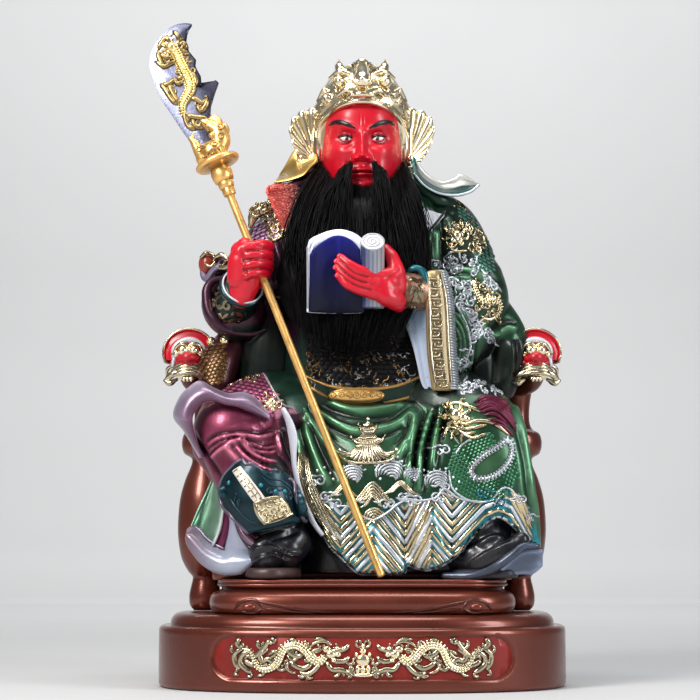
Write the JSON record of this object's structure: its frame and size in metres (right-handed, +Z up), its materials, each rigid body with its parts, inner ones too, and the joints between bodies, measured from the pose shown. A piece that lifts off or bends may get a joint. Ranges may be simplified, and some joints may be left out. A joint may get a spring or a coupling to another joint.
{
  "type": "guan yu statue",
  "caption": "Seated bearded general in robe and armour with an open book and a crescent-bladed glaive, in a dragon-armed chair on an oval plinth with a relief panel.",
  "frame": {"origin": "centre of the plinth's underside", "axes": "+Z up, +X to the right of someone who faces the statue, the figure looks along -Y"},
  "size_m": [0.2936, 0.1984, 0.4738],
  "materials": {
    "plinth": "satin copper-brown lacquer",
    "plaque": "gold relief on red-brown ground",
    "chair": "satin copper-brown lacquer",
    "figure": "metallic green, purple and teal enamel with gilding, red skin",
    "beard": "black hair fibre",
    "book": "blue enamel with white edges",
    "glaive_head": "gilded relief on silver-grey blade",
    "glaive_pole": "satin gold"
  },
  "bodies": {
    "root": {"plinth": "plinth", "plaque": "plaque", "chair": "chair", "figure": "figure", "beard": "beard", "book": "book", "glaive_head": "glaive_head", "glaive_pole": "glaive_pole"}
  },
  "joints": []
}
